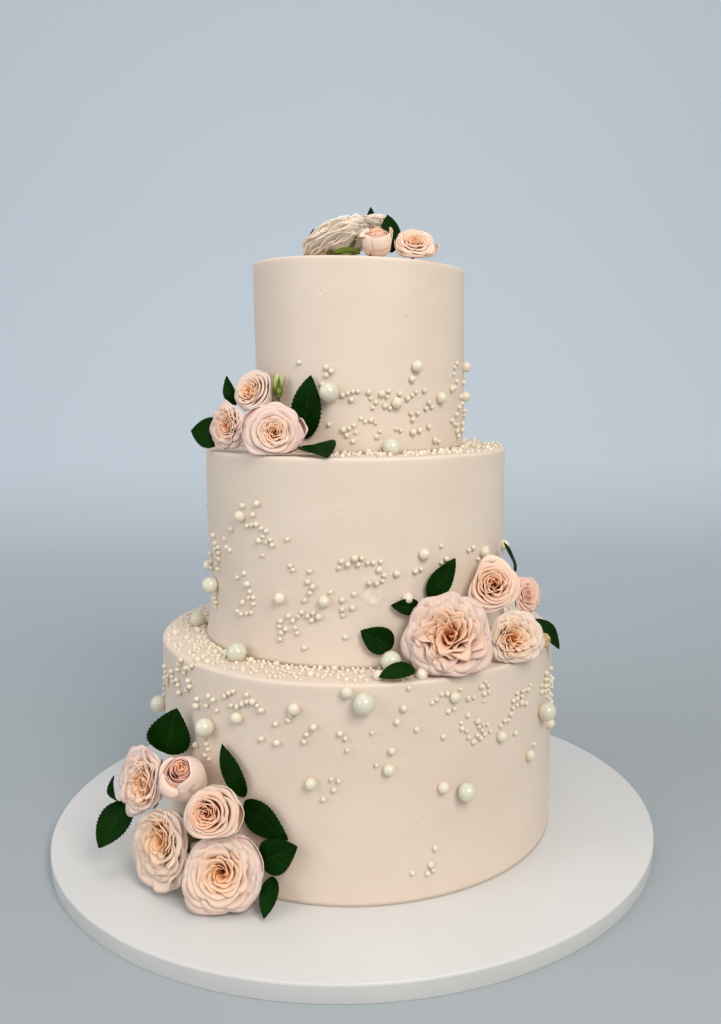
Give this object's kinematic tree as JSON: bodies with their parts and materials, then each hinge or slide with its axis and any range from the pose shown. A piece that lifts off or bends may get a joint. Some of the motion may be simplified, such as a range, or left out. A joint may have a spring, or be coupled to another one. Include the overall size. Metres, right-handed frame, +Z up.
{
  "type": "tiered cake",
  "caption": "Three-tier round celebration cake in smooth blush cream, dressed with garden roses, rose leaves and strewn sugar pearls, standing on its own round board.",
  "frame": {"origin": "centre of the board's underside, on the surface that the cake stands on", "axes": "+Z up through the tiers, -Y towards the front that carries the rose clusters, +X to the right seen from the front"},
  "size_m": [0.45, 0.45, 0.4596],
  "materials": {
    "board": "matt white covering on a fibreboard drum",
    "cream": "soft satin buttercream, smoothed with a scraper",
    "pearl": "polished ivory sugar with a soft pearly sheen",
    "petal": "fresh pale pink rose petal, velvety",
    "deep_petal": "fresh deeper pink rose petal, velvety",
    "leaf": "dark green rose leaf, slightly waxy",
    "green_bud": "young green rose bud"
  },
  "bodies": {
    "root": {"cake_board": "board", "tier_bottom": "cream", "tier_middle": "cream", "tier_top": "cream", "rose_low_front": "petal", "rose_low_left": "petal", "rose_low_heart": "petal", "rose_low_bud": "petal", "rose_low_back": "petal", "rose_ledge_large": "petal", "rose_ledge_upper": "petal", "rose_ledge_small": "deep_petal", "rose_ledge_right": "petal", "floret_ledge": "deep_petal", "rose_middle_upper": "petal", "rose_middle_left": "petal", "rose_middle_front": "petal", "green_bud_middle": "green_bud", "rose_top_large": "petal", "rose_top_bud": "petal", "rose_top_right": "petal", "rose_top_back": "petal", "leaf_low_top": "leaf", "leaf_low_upper": "leaf", "leaf_low_middle": "leaf", "leaf_low_right": "leaf", "leaf_low_foot": "leaf", "leaf_low_left": "leaf", "leaf_low_far_left": "leaf", "leaf_ledge_upper": "leaf", "leaf_ledge_left": "leaf", "leaf_ledge_far_left": "leaf", "leaf_ledge_rim": "leaf", "leaf_ledge_back": "leaf", "leaf_ledge_right": "leaf", "leaf_middle_large": "leaf", "leaf_middle_rim": "leaf", "leaf_middle_left": "leaf", "leaf_middle_back": "leaf", "leaf_top_left": "leaf", "leaf_top_back": "leaf", "leaf_top_upright": "leaf", "leaf_top_front": "leaf", "pearl_top_front": "pearl", "pearl_middle_left": "pearl", "pearl_bottom_centre": "pearl", "pearl_bottom_low": "pearl", "pearl_bottom_left": "pearl", "pearl_bottom_far_left": "pearl", "pearl_bottom_right": "pearl", "pearl_back_bottom_left": "pearl", "pearl_back_bottom_right": "pearl", "pearl_back_middle_right": "pearl", "pearl_back_middle_left": "pearl", "pearl_back_top": "pearl", "pearl_ledge_left": "pearl", "pearl_ledge_front_left": "pearl", "pearl_ledge_leaf": "pearl", "pearl_ledge_top_tier": "pearl", "pearl_ledge_back": "pearl"}
  },
  "joints": []
}
